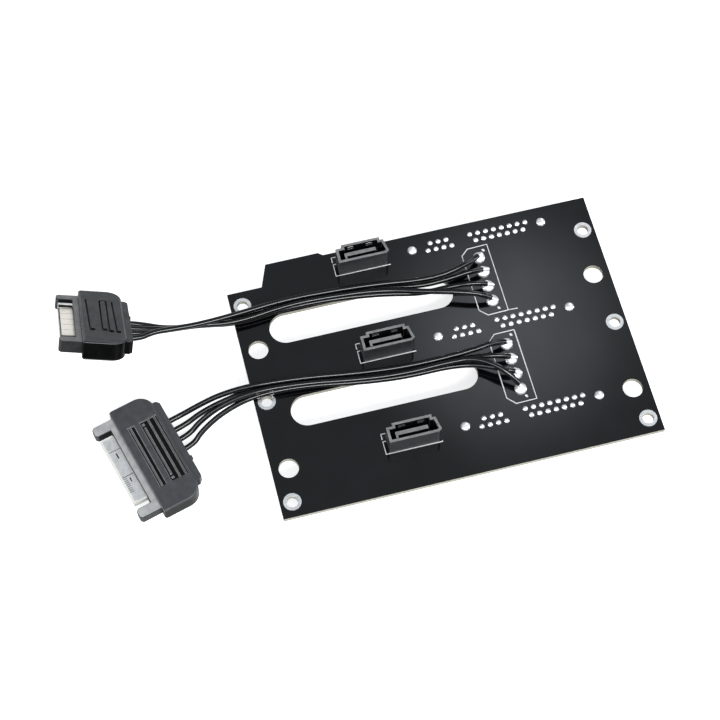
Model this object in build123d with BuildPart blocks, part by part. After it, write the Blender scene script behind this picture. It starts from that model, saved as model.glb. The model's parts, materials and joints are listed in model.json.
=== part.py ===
from build123d import *
from math import radians, tan
import os

# A backplane board for three hot swap drives: a slotted circuit board with three
# drive receptacles under it, three data headers on it and two power pigtails.
# Millimetres. Origin: centre of the board's box, on the surface that the
# receptacle mouths rest on. +X right along the long edge, +Y to the rear, +Z up.

# Circuit board
board_length = 115.4
board_depth = 82.7
board_thickness = 1.6
tab_left = 13.6
tab_right = 30.2
tab_slope = 2.8
tab_bevel = 1.4
shoulder_drop = 7.4
rear_step = 1.1
screw_hole_radius = 1.7
screw_inset = 3.7
screw_front = 4.7
screw_pitch = 32.85
locating_hole_radius = 3.0
locating_inset = 5.1
locating_front = 15.2
locating_pitch = 39.6
slot_left = 9.8
slot_length = 57.2
slot_width = 10.0
first_slot = 32.0
slot_pitch = 28.0
ring_radius = 2.7
ring_sides = 16
ring_thickness = 0.15

# Rows of drive bays, and the contacts of each
bay_count = 3
bay_pitch = 30.48
first_bay = 15.4
contact_pitch = 1.27
signal_contacts = 7
power_contacts = 15
segment_gap = 6.35

# Drive receptacles, on the underside
receptacle_centre = 79.25
receptacle_length = 44.4
receptacle_width = 6.8
receptacle_height = 9.0
receptacle_chamfer = 0.8
tongue_slot_depth = 6.6
tongue_slot_width = 1.5
tongue_slot_margin = 1.5
key_slot_length = 0.9
key_slot_reach = 2.3
guide_slot_length = 2.4
guide_slot_width = 2.8
guide_slot_depth = 6.8
tail_line_offset = 1.2
strip_width = 0.6
strip_thickness = 0.3
strip_clearance = 0.1
strip_tip = 1.0
spring_reach = 0.5
spring_rise = 1.8
crossover_height = 7.4
hold_down_span = 41.3
hold_down_width = 1.6
hold_down_thickness = 0.4
hold_down_depth = 1.8

# Solder joints
pin_hole_side = 0.8
hold_down_hole_width = 1.9
joint_sides = 6
joint_slope = 35
joint_radius = 0.72
joint_height = 0.55
header_joint_radius = 0.6
large_joint_radius = 1.5
large_joint_height = 0.9

# Data headers, on the top
header_centre = 42.05
header_left = 7.2
header_right = 7.65
header_front = 2.8
header_back = 2.05
header_height = 7.7
header_wall = 0.75
header_floor = 1.5
header_nose = 0.9
header_nose_depth = 0.8
latch_wall_left = 5.25
latch_wall_right = 6.65
latch_wall_depth = 1.0
window_width = 2.0
window_height = 1.5
window_drop = 0.8
window_centre = -2.4
window_pitch = 5.8
header_tongue_length = 9.75
header_tongue_back = 0.35
header_tongue_thickness = 1.15
header_tongue_drop = 0.6
header_key_length = 0.65
header_key_reach = 2.0
header_contact_drop = 2.5

# Pigtail solder pads
pigtail_pad_centre = 77.8
pigtail_pad_pitch = 5.08
first_pigtail = 30.64
pigtail_pitch = 30.48
wires_per_pigtail = 4
wire_joint_sides = 8
wire_joint_radius = 1.8
wire_joint_height = 1.2
wire_hole_radius = 0.9
wire_foot_radius = 1.4
wire_core_radius = 0.5
wire_core_length = 2.0

# Power plugs, in their own frame: +X out of the mouth, +Y across, +Z up
cover_width = 36.6
cover_front = 0.6
cover_depth = 12.9
cover_height = 6.1
cover_rear_radius = 4.6
cover_front_radius = 0.8
cover_edge = 0.4
groove_depth = 0.6
groove_length = 21.4
top_grooves = ((-3.05, 2.1), (-8.65, 5.5))
top_ribs = (-2.75, -8.65, -10.6)
rib_width = 0.45
short_rib = -6.7
pocket_length = 2.2
pocket_pin = 0.6
bottom_grooves = ((-2.4, 2.0), (-6.2, 1.6), (-8.0, 1.2), (-10.0, 1.3))
frame_width = 32.8
frame_thickness = 3.7
frame_front = 2.5
frame_depth = 8.4
arm_length = 4.9
arm_width = 3.3
arm_chamfer = 0.7
plug_fit = 0.1
plug_tongue_width = 22.5
plug_tongue_centre = -0.55
plug_tongue_reach = 4.4
plug_tongue_root = 5.5
plug_tongue_thickness = 1.25
plug_key_width = 1.2
plug_key_reach = 1.1
contacts_per_blade = 3
blade_gap = 0.35
blade_thickness = 0.12
blade_setback = 0.5
cap_width = 28.8
cap_centre = -0.55
cap_depth = 2.0
cap_root = 1.5
cap_height = 3.9
cap_corner = 1.0
first_port = -8.0
port_pitch = 3.43
port_depth = 1.0
port_clearance = 0.13
blank_pin_radius = 0.8
blank_pin_proud = 0.6

# Wires
wire_diameter = 1.7
wire_sides = 8
wire_bend_share = 0.45

# Where the two plugs lie: place, then turns about Z, Y and X
plug_places = {
    "a": Location((-101.34, 34.4, 17.5), (168.48, -12.93, -141.95), Intrinsic.ZYX),
    "b": Location((-94.91, -10.99, 0), (195.5, 0, 0), Intrinsic.ZYX),
}

# Where each wire runs, from its seat in the plug's cap to its solder pad
wire_routes = {
    "a_1": [
        (-89.717, 23.683, 16.989),
        (-86.66, 23.06, 16.27),
        (-82, 24.6, 15.5),
        (-76, 24.4, 15.1),
        (-68, 23.7, 15.6),
        (-57, 24.5, 15.0),
        (-41, 26.5, 13.6),
        (-26, 25.9, 13.6),
        (-12, 24.7, 13.7),
        (0, 22.6, 14.2),
        (8.5, 22.4, 14.9),
        (16.2, 24.6, 15.0),
        (19.5, 27.1, 12.65),
    ],
    "a_2": [
        (-89.642, 26.424, 14.928),
        (-85.53, 25.59, 13.97),
        (-78, 25.4, 13.2),
        (-68, 24.5, 13.5),
        (-57, 22.5, 13.6),
        (-41, 24.7, 13.5),
        (-26, 24.1, 13.5),
        (-12, 22.5, 13.7),
        (0, 18.6, 14.3),
        (8.5, 16.1, 14.9),
        (16.5, 13.4, 14.9),
        (19.6, 12.3, 12.65),
    ],
    "a_3": [
        (-89.566, 29.166, 12.868),
        (-85.17, 28.27, 11.84),
        (-78, 26.6, 11.5),
        (-68, 25.3, 11.8),
        (-57, 23.1, 11.7),
        (-41, 24.7, 11.7),
        (-26, 24.1, 11.7),
        (-12, 22.2, 11.8),
        (0, 19.0, 12.2),
        (9, 19.0, 12.7),
        (16.2, 17.7, 14.2),
        (19.6, 17.22, 12.65),
    ],
    "a_4": [
        (-89.49, 31.907, 10.807),
        (-85.19, 31.03, 9.8),
        (-78, 27.9, 9.3),
        (-68, 26.4, 9.7),
        (-57, 25.2, 12.0),
        (-41, 26.5, 11.75),
        (-26, 25.9, 11.7),
        (-12, 24.4, 11.8),
        (0, 21.6, 12.3),
        (9, 21.6, 12.9),
        (16.1, 21.9, 14.3),
        (19.6, 22.3, 12.65),
    ],
    "b_1": [
        (-84.232, 0.273, 3.05),
        (-79.7, 1.53, 3.05),
        (-73.5, 2.3, 5.9),
        (-66.5, 2.2, 10.0),
        (-57, 0.8, 14.2),
        (-41, -0.3, 13.6),
        (-26, -2.7, 13.6),
        (-12, -4.2, 13.7),
        (1, -4.4, 14.1),
        (10, -4.2, 14.6),
        (16.2, -3.3, 14.7),
        (19.6, -3.09, 12.65),
    ],
    "b_2": [
        (-83.315, -3.032, 3.05),
        (-78.79, -1.78, 3.05),
        (-74, -0.2, 5.2),
        (-67, 0.3, 8.8),
        (-57, 0.6, 12.2),
        (-41, -0.2, 11.75),
        (-26, -2.9, 11.7),
        (-12, -4.4, 11.8),
        (1, -4.7, 12.3),
        (9.5, -5.9, 13.0),
        (16, -7.5, 14.4),
        (19.6, -8.1, 12.65),
    ],
    "b_3": [
        (-82.398, -6.337, 3.05),
        (-78.35, -5.21, 3.05),
        (-74.6, -2.9, 5.4),
        (-67.5, -1.3, 9.8),
        (-57, -1.1, 14.1),
        (-41, -2.1, 13.5),
        (-26, -4.8, 13.5),
        (-12, -6.3, 13.6),
        (1, -6.1, 14.2),
        (9.5, -7.2, 15.3),
        (16.9, -13.6, 16.2),
        (19.8, -17.5, 12.6),
    ],
    "b_4": [
        (-81.482, -9.642, 3.05),
        (-77.63, -8.57, 3.05),
        (-74.9, -6.1, 4.9),
        (-67.5, -3.2, 8.8),
        (-57, -1.5, 12.2),
        (-41, -2.1, 11.7),
        (-26, -4.9, 11.7),
        (-12, -6.5, 11.7),
        (1, -6.5, 12.1),
        (9.5, -8.1, 12.5),
        (15.9, -12.0, 14.2),
        (19.6, -13.1, 12.6),
    ],
}

# Levels, edges and places that several pieces share
board_bottom = receptacle_height
board_top = board_bottom + board_thickness
left = -board_length / 2
right = board_length / 2
front = -board_depth / 2
rear = board_depth / 2
bay_lines = [front + first_bay + bay * bay_pitch for bay in range(bay_count)]
bay_places = {bay: Location((0, line, 0)) for bay, line in enumerate(bay_lines, start=1)}
signal_span = (signal_contacts - 1) * contact_pitch
power_span = (power_contacts - 1) * contact_pitch
receptacle_x = left + receptacle_centre
first_contact = receptacle_x - (signal_span + segment_gap + power_span) / 2
first_power = first_contact + signal_span + segment_gap
contact_places = [first_contact + i * contact_pitch for i in range(signal_contacts)]
contact_places += [first_power + i * contact_pitch for i in range(power_contacts)]
hold_down_points = [(receptacle_x + side * hold_down_span / 2, 0) for side in (-1, 1)]
header_x = left + header_centre
header_tongue_front = header_tongue_back - header_tongue_thickness
header_pin_line = header_tongue_front - strip_thickness / 2
header_places = [header_x - signal_span / 2 + i * contact_pitch for i in range(signal_contacts)]
header_points = [(x, header_pin_line) for x in header_places]

# The tails stand in two lines, by turns: the first of them in the front line
front_tail_places = contact_places[0::2]
rear_tail_places = contact_places[1::2]
tail_points = [(x, -tail_line_offset) for x in front_tail_places]
tail_points += [(x, tail_line_offset) for x in rear_tail_places]


def wire_pads(pigtail):
    """The pads of one pigtail, from the front one to the rear one."""
    middle = front + first_pigtail + pigtail * pigtail_pitch
    start = middle - (wires_per_pigtail - 1) * pigtail_pad_pitch / 2
    x = left + pigtail_pad_centre
    return [(x, start + i * pigtail_pad_pitch) for i in range(wires_per_pigtail)]


def write(piece, name):
    """Labels one finished piece and writes its file."""
    piece.label = name
    export_step(piece, f"parts/{name}.step")


def write_copies(piece, name, places):
    """Writes one copy of a piece for each place that it has in the product."""
    for key, place in places.items():
        write(place * piece, f"{name}_{key}")


os.makedirs("parts", exist_ok=True)

# Circuit board: outline with a raised tab and a stepped shoulder, two long slots
# between the bays, screw and locating holes, and a hole for each tail.
shoulder = rear - shoulder_drop
outline = [
    (left, front),
    (right, front),
    (right, rear - rear_step),
    (left + tab_right + tab_bevel, rear - rear_step),
    (left + tab_right, rear),
    (left + tab_left, rear),
    (left + tab_left - tab_slope, shoulder),
    (left, shoulder),
]
pin_points = [(x, line + y) for line in bay_lines for x, y in tail_points + header_points]
hold_down_holes = [(x, line + y) for line in bay_lines for x, y in hold_down_points]
slot_x = left + slot_left + slot_length / 2
slot_points = [(slot_x, front + first_slot + i * slot_pitch) for i in range(bay_count - 1)]
with BuildPart() as circuit_board:
    with BuildSketch(Plane.XY.offset(board_bottom)):
        Polygon(*outline, align=None)
        with Locations(slot_points):
            SlotOverall(slot_length, slot_width, mode=Mode.SUBTRACT)
        with Locations((0, front + screw_front + screw_pitch)):
            with GridLocations(board_length - 2 * screw_inset, screw_pitch, 2, 3):
                Circle(screw_hole_radius, mode=Mode.SUBTRACT)
        with Locations((0, front + locating_front + locating_pitch / 2)):
            with GridLocations(board_length - 2 * locating_inset, locating_pitch, 2, 2):
                Circle(locating_hole_radius, mode=Mode.SUBTRACT)
        with Locations(pin_points):
            Rectangle(pin_hole_side, pin_hole_side, mode=Mode.SUBTRACT)
        with Locations(hold_down_holes):
            Rectangle(hold_down_hole_width, pin_hole_side, mode=Mode.SUBTRACT)
        with Locations(wire_pads(0) + wire_pads(1)):
            RegularPolygon(wire_hole_radius, joint_sides, mode=Mode.SUBTRACT)
    extrude(amount=board_thickness)
write(circuit_board.part, "circuit_board")

# Tinned rings round the six screw holes, on the top face.
with BuildPart() as screw_hole_rings:
    with BuildSketch(Plane.XY.offset(board_top)):
        with Locations((0, front + screw_front + screw_pitch)):
            with GridLocations(board_length - 2 * screw_inset, screw_pitch, 2, 3):
                RegularPolygon(ring_radius, ring_sides)
                Circle(screw_hole_radius, mode=Mode.SUBTRACT)
    extrude(amount=ring_thickness)
write(screw_hole_rings.part, "screw_hole_rings")

# A receptacle contact's side view: tip, spring belly, stem and soldered tail.
stem_front = -tail_line_offset - strip_thickness / 2
stem_back = stem_front + strip_thickness
belly = strip_tip + spring_rise
neck = belly + spring_rise
spring = [
    (stem_front, neck),
    (stem_front + spring_reach, belly),
    (stem_front, strip_tip),
    (stem_back, strip_tip),
    (stem_back + spring_reach, belly),
    (stem_back, neck),
]
front_tail = [
    (stem_back, board_top),
    (stem_front, board_top),
]
rear_tail = [
    (stem_back, crossover_height),
    (-stem_front, crossover_height),
    (-stem_front, board_top),
    (-stem_back, board_top),
    (-stem_back, crossover_height + strip_thickness),
    (stem_front, crossover_height + strip_thickness),
]

# Drive receptacle: a bar with two keyed tongue slots, open guide slots at its
# ends, and a groove for each contact in the front wall of the tongue slots.
groove_width = strip_width + 2 * strip_clearance
groove_front = stem_front - strip_clearance
slot_front = -tongue_slot_width / 2
channel_start = crossover_height - strip_clearance
segments = [
    (first_contact + signal_span / 2, signal_span + 2 * tongue_slot_margin),
    (first_power + power_span / 2, power_span + 2 * tongue_slot_margin),
]
with BuildPart() as receptacle_housing:
    with BuildSketch():
        with Locations((receptacle_x, 0)):
            Rectangle(receptacle_length, receptacle_width)
        chamfer(vertices(), receptacle_chamfer)
    extrude(amount=receptacle_height)
    with BuildSketch():
        for middle, length in segments:
            with Locations((middle, 0)):
                Rectangle(length, tongue_slot_width)
            with Locations((middle - length / 2, -slot_front)):
                Rectangle(key_slot_length, key_slot_reach, align=(Align.MIN, Align.MAX))
    extrude(amount=tongue_slot_depth, mode=Mode.SUBTRACT)
    with BuildSketch():
        for side in (-1, 1):
            with Locations((receptacle_x + side * receptacle_length / 2, 0)):
                Rectangle(2 * guide_slot_length, guide_slot_width)
    extrude(amount=guide_slot_depth, mode=Mode.SUBTRACT)
    with BuildSketch():
        with Locations([(x, groove_front) for x in contact_places]):
            Rectangle(groove_width, slot_front - groove_front, align=(Align.CENTER, Align.MIN))
    extrude(amount=channel_start, mode=Mode.SUBTRACT)
    with BuildSketch(Plane.XY.offset(channel_start)):
        with Locations([(x, groove_front) for x in front_tail_places]):
            Rectangle(groove_width, slot_front - groove_front, align=(Align.CENTER, Align.MIN))
        with Locations([(x, 0) for x in rear_tail_places]):
            Rectangle(groove_width, -2 * groove_front)
    extrude(amount=receptacle_height - channel_start, mode=Mode.SUBTRACT)
    with BuildSketch(Plane.XY.offset(receptacle_height)):
        with Locations(hold_down_points):
            pocket_width = hold_down_width + 2 * strip_clearance
            Rectangle(pocket_width, hold_down_thickness + 2 * strip_clearance)
    extrude(amount=-hold_down_depth, mode=Mode.SUBTRACT)
write_copies(receptacle_housing.part, "drive_receptacle_housing", bay_places)


def side_views(places):
    """Planes across the receptacle, one at each contact: X to the rear, Y up."""
    return [Plane(origin=(x, 0, 0), x_dir=(0, 1, 0), z_dir=(1, 0, 0)) for x in places]


with BuildPart() as receptacle_contacts:
    with BuildSketch(*side_views(front_tail_places)):
        Polygon(*spring, *front_tail, align=None)
    with BuildSketch(*side_views(rear_tail_places)):
        Polygon(*spring, *rear_tail, align=None)
    extrude(amount=strip_width / 2, both=True)
write_copies(receptacle_contacts.part, "receptacle_contacts", bay_places)

with BuildPart() as receptacle_hold_downs:
    with BuildSketch(Plane.XY.offset(receptacle_height - hold_down_depth)):
        with Locations(hold_down_points):
            Rectangle(hold_down_width, hold_down_thickness)
    extrude(amount=hold_down_depth + board_thickness)
write_copies(receptacle_hold_downs.part, "receptacle_hold_downs", bay_places)

# Solder over the receptacle's tails, on the top face.
with BuildPart() as receptacle_solder:
    with BuildSketch(Plane.XY.offset(board_top)):
        with Locations(tail_points):
            RegularPolygon(joint_radius, joint_sides)
    extrude(amount=joint_height, taper=joint_slope)
    with BuildSketch(Plane.XY.offset(board_top)):
        with Locations(hold_down_points):
            RegularPolygon(large_joint_radius, joint_sides)
    extrude(amount=large_joint_height, taper=joint_slope)
write_copies(receptacle_solder.part, "receptacle_solder", bay_places)

# Data header: a shroud with a slanted end, a set-back latch wall with two
# windows, and an upright tongue that is keyed at its left end.
nose = header_right + header_nose
latch_line = header_back + latch_wall_depth
with BuildPart() as header_housing:
    with BuildSketch(Plane.XY.offset(board_top)) as shroud:
        with Locations((header_x, 0)):
            Polygon(
                (-header_left, -header_front),
                (header_right, -header_front),
                (nose, header_nose_depth - header_front),
                (header_right, header_back),
                (latch_wall_right, header_back),
                (latch_wall_right, latch_line),
                (-latch_wall_left, latch_line),
                (-latch_wall_left, header_back),
                (-header_left, header_back),
                align=None,
            )
    extrude(amount=header_height)
    with BuildSketch(Plane.XY.offset(board_top + header_floor)):
        add(shroud.sketch_local)
        offset(amount=-header_wall, kind=Kind.INTERSECTION, mode=Mode.REPLACE)
    extrude(amount=header_height, mode=Mode.SUBTRACT)
    with BuildSketch(Plane.XY.offset(board_top + header_floor)):
        with Locations((header_x - header_tongue_length / 2, header_tongue_back)):
            corner = (Align.MIN, Align.MAX)
            Rectangle(header_tongue_length, header_tongue_thickness, align=corner)
            Rectangle(header_key_length, header_key_reach, align=corner)
    extrude(amount=header_height - header_floor - header_tongue_drop)
    with BuildSketch(Plane.XY.offset(board_top)):
        with Locations([(x, header_tongue_front) for x in header_places]):
            hole_depth = strip_thickness + strip_clearance
            Rectangle(groove_width, hole_depth, align=(Align.CENTER, Align.MAX))
    extrude(amount=header_floor, mode=Mode.SUBTRACT)
    latch_face = Plane(origin=(header_x, latch_line, board_top), x_dir=(1, 0, 0), z_dir=(0, -1, 0))
    with BuildSketch(latch_face):
        for i in range(2):
            with Locations((window_centre + i * window_pitch, header_height - window_drop)):
                Rectangle(window_width, window_height, align=(Align.CENTER, Align.MAX))
    extrude(amount=header_wall, mode=Mode.SUBTRACT)
write_copies(header_housing.part, "data_header_housing", bay_places)

with BuildPart() as header_contacts:
    with BuildSketch(Plane.XY.offset(board_bottom)):
        with Locations(header_points):
            Rectangle(strip_width, strip_thickness)
    extrude(amount=board_thickness + header_height - header_tongue_drop - header_contact_drop)
write_copies(header_contacts.part, "data_header_contacts", bay_places)

# Solder over the header's pins, on the underside.
underside = Plane(origin=(0, 0, board_bottom), x_dir=(1, 0, 0), z_dir=(0, 0, -1))
with BuildPart() as header_solder:
    with BuildSketch(underside):
        with Locations([(x, -y) for x, y in header_points]):
            RegularPolygon(header_joint_radius, joint_sides)
    extrude(amount=joint_height, taper=joint_slope)
write_copies(header_solder.part, "data_header_solder", bay_places)

# Levels and ends inside a plug
plug_middle = cover_height / 2
frame_level = plug_middle - frame_thickness / 2
tongue_level = plug_middle - plug_tongue_thickness / 2
cap_level = plug_middle - cap_height / 2
cover_back = cover_front - cover_depth
frame_back = frame_front - frame_depth
cap_back = cover_back - cap_depth
tongue_tip = frame_front + plug_tongue_reach
blade_length = plug_tongue_reach - blade_setback
from_front = (Align.MAX, Align.CENTER)
from_back = (Align.MIN, Align.CENTER)

# Cover: a flat moulding with rounded rear corners, ribbed finger grooves on its
# top and plain ones beneath, open at the front for the frame and at the back for
# the cap. Two small pockets end the short rib.
with BuildPart() as plug_cover:
    with BuildSketch():
        with Locations((cover_front, 0)):
            Rectangle(cover_depth, cover_width, align=from_front)
        fillet(vertices().group_by(Axis.X)[0], cover_rear_radius)
        fillet(vertices().group_by(Axis.X)[-1], cover_front_radius)
    extrude(amount=cover_height)
    chamfer(faces().filter_by(Axis.Z).edges(), cover_edge)
    with BuildSketch(Plane.XY.offset(cover_height)):
        for middle, width in top_grooves:
            with Locations((middle, 0)):
                Rectangle(width, groove_length)
        with Locations([(place, 0) for place in top_ribs]):
            Rectangle(rib_width, groove_length, mode=Mode.SUBTRACT)
        with Locations((short_rib, 0)):
            Rectangle(rib_width, groove_length - 2 * pocket_length, mode=Mode.SUBTRACT)
            with GridLocations(0, groove_length - pocket_length, 1, 2):
                Rectangle(pocket_pin, pocket_pin, mode=Mode.SUBTRACT)
    extrude(amount=-groove_depth, mode=Mode.SUBTRACT)
    with BuildSketch():
        for middle, width in bottom_grooves:
            with Locations((middle, 0)):
                Rectangle(width, groove_length)
    extrude(amount=groove_depth, mode=Mode.SUBTRACT)
    with BuildSketch(Plane.XY.offset(frame_level - plug_fit)):
        with Locations((cover_front, 0)):
            Rectangle(cover_front - frame_back, frame_width + 2 * plug_fit, align=from_front)
    extrude(amount=frame_thickness + 2 * plug_fit, mode=Mode.SUBTRACT)
    with BuildSketch(Plane.XY.offset(cap_level - plug_fit)):
        with Locations((cover_back, cap_centre)):
            Rectangle(cap_root, cap_width + 2 * plug_fit, align=from_back)
    extrude(amount=cap_height + 2 * plug_fit, mode=Mode.SUBTRACT)
write_copies(plug_cover.part, "plug_cover", plug_places)

# Frame: a flat body with two guide arms and a slot for the tongue.
with BuildPart() as plug_frame:
    with BuildSketch(Plane.XY.offset(frame_level)):
        with Locations((frame_front, 0)):
            Rectangle(frame_depth, frame_width, align=from_front)
        for side in (-1, 1):
            with Locations((frame_front, side * (frame_width - arm_width) / 2)):
                Rectangle(arm_length, arm_width, align=from_back)
        chamfer(vertices().group_by(Axis.X)[-1], arm_chamfer)
    extrude(amount=frame_thickness)
    with BuildSketch(Plane.XY.offset(tongue_level)):
        with Locations((frame_front, plug_tongue_centre)):
            Rectangle(plug_tongue_root, plug_tongue_width, align=from_front)
    extrude(amount=plug_tongue_thickness, mode=Mode.SUBTRACT)
write_copies(plug_frame.part, "plug_frame", plug_places)

# Tongue: a light insert with a key along one edge of its underside.
with BuildPart() as plug_tongue:
    with BuildSketch(Plane.XY.offset(tongue_level)):
        with Locations((tongue_tip, plug_tongue_centre)):
            Rectangle(plug_tongue_reach + plug_tongue_root, plug_tongue_width, align=from_front)
    extrude(amount=plug_tongue_thickness)
    with BuildSketch(Plane.XY.offset(tongue_level)):
        with Locations((tongue_tip, plug_tongue_centre + plug_tongue_width / 2)):
            Rectangle(plug_tongue_reach, plug_key_width, align=(Align.MAX, Align.MAX))
    extrude(amount=-plug_key_reach)
write_copies(plug_tongue.part, "plug_tongue", plug_places)

# Blades: flat contacts under the tongue, each as wide as the three contacts that
# one wire feeds.
blade_pitch = contacts_per_blade * contact_pitch
with BuildPart() as plug_blades:
    with BuildSketch(Plane.XY.offset(tongue_level)):
        with Locations((frame_front + blade_length / 2, plug_tongue_centre)):
            with GridLocations(0, blade_pitch, 1, power_contacts // contacts_per_blade):
                Rectangle(blade_length, blade_pitch - blade_gap)
    extrude(amount=-blade_thickness)
write_copies(plug_blades.part, "plug_blades", plug_places)

# Cap: the wires come out of four of its five ports, and a pin blanks the fifth.
exit_face = Plane(origin=(cap_back, 0, plug_middle), x_dir=(0, 1, 0), z_dir=(1, 0, 0))
port_places = [first_port + i * port_pitch for i in range(wires_per_pigtail)]
with BuildPart() as plug_cap:
    with BuildSketch(Plane.XY.offset(cap_level)):
        with Locations((cap_back, cap_centre)):
            Rectangle(cap_depth + cap_root, cap_width, align=from_back)
        chamfer(vertices().group_by(Axis.X)[0], cap_corner)
    extrude(amount=cap_height)
    with BuildSketch(exit_face):
        with Locations([(place, 0) for place in port_places]):
            port_radius = wire_diameter / 2 + port_clearance
            RegularPolygon(port_radius, wire_sides, major_radius=False)
    extrude(amount=port_depth, mode=Mode.SUBTRACT)
    with BuildSketch(exit_face):
        with Locations((first_port + wires_per_pigtail * port_pitch, 0)):
            Circle(blank_pin_radius)
    extrude(amount=-blank_pin_proud)
write_copies(plug_cap.part, "plug_cap", plug_places)


def bend_radii(points):
    """Gives each bend of a route the largest arc that its two runs leave room for."""
    radii = []
    for before, corner, after in zip(points, points[1:], points[2:]):
        run_in = Vector(corner) - Vector(before)
        run_out = Vector(after) - Vector(corner)
        turn = radians(run_in.get_angle(run_out))
        radii.append(wire_bend_share * min(run_in.length, run_out.length) / tan(turn / 2))
    return radii


# Wires: a plain tube along each route, with as many flat sides as its port.
for key, points in wire_routes.items():
    radii = bend_radii(points)
    with BuildPart() as wire:
        with BuildLine() as route:
            FilletPolyline(*points, radius=radii)
        path = route.wires()[0]
        with BuildSketch(Plane(origin=path @ 0, z_dir=path % 0)):
            outline = RegularPolygon(wire_diameter / 2, wire_sides)
        sweep()
    write(wire.part, f"pigtail_wire_{key}")
    section = outline.area
    print(
        f"wire {key}: length {path.length:.1f}, volume {wire.part.volume:.1f},",
        f"section times length {section * path.length:.1f},",
        "bend radii", [round(radius, 1) for radius in radii],
    )

# Pigtail solder: a joint on each pad, through its hole and round the wire's core.
for pigtail, letter in enumerate("ba"):
    pads = wire_pads(pigtail)
    with BuildPart() as pigtail_solder:
        with BuildSketch(Plane.XY.offset(board_top)):
            with Locations(pads):
                RegularPolygon(wire_joint_radius, wire_joint_sides)
        extrude(amount=wire_joint_height, taper=joint_slope)
        with BuildSketch(Plane.XY.offset(board_top)):
            with Locations(pads):
                RegularPolygon(wire_hole_radius - strip_clearance, joint_sides)
        extrude(amount=-board_thickness)
        with BuildSketch(underside):
            with Locations([(x, -y) for x, y in pads]):
                RegularPolygon(wire_foot_radius, joint_sides)
        extrude(amount=joint_height, taper=joint_slope)
        for number in range(1, wires_per_pigtail + 1):
            before, end = (Vector(point) for point in wire_routes[f"{letter}_{number}"][-2:])
            with BuildSketch(Plane(origin=end, z_dir=end - before)):
                RegularPolygon(wire_core_radius, joint_sides)
            extrude(amount=wire_core_length)
    write(pigtail_solder.part, f"pigtail_solder_{letter}")
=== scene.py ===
# %% [markdown]
# A backplane board for three hot swap drives, with two power pigtails.
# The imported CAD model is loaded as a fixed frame. Everything is in metres, in its frame:
# X along the board's long edge, Y to its rear edge, Z up from the table.

# %% Load the frame
import bpy
import json
from math import cos, radians, sin
from mathutils import Euler, Matrix, Vector

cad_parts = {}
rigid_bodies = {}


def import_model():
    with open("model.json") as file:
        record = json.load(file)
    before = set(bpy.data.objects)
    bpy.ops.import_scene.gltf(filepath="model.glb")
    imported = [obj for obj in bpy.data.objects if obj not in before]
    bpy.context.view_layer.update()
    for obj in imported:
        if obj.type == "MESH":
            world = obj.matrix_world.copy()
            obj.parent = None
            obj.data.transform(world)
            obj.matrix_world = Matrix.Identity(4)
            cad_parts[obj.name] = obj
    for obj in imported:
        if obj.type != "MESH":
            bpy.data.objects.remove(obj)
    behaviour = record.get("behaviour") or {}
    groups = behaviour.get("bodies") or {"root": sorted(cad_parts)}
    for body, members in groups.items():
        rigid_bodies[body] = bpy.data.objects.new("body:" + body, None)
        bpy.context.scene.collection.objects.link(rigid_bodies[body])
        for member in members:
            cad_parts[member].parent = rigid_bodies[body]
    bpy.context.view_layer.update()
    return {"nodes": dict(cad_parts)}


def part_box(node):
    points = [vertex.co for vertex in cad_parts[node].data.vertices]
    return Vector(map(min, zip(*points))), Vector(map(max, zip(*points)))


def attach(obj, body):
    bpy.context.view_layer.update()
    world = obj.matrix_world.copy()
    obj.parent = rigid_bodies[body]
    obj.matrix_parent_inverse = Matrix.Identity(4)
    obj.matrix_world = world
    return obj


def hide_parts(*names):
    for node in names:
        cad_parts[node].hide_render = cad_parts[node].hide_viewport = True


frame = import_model()
MM = 0.001
for node in frame["nodes"].values():
    node.select_set(False)

# %% [markdown]
# The camera looks down on the board from the front, slightly from the left, through a long lens.
# A long lens keeps the board's far edge nearly as long as its near one, as a product shot does.

# %% Camera
camera_data = bpy.data.cameras.new("studio_camera")
camera_data.sensor_width = 36
camera_data.lens = 95
camera_data.clip_end = 20
camera = bpy.data.objects.new("studio_camera", camera_data)
camera.location = (-0.08465, -0.23647, 0.52364)
camera.rotation_euler = (radians(25.689), radians(-0.02), radians(-14.224))
bpy.context.scene.collection.objects.link(camera)
bpy.context.scene.camera = camera
print("camera at", tuple(camera.location))
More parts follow.
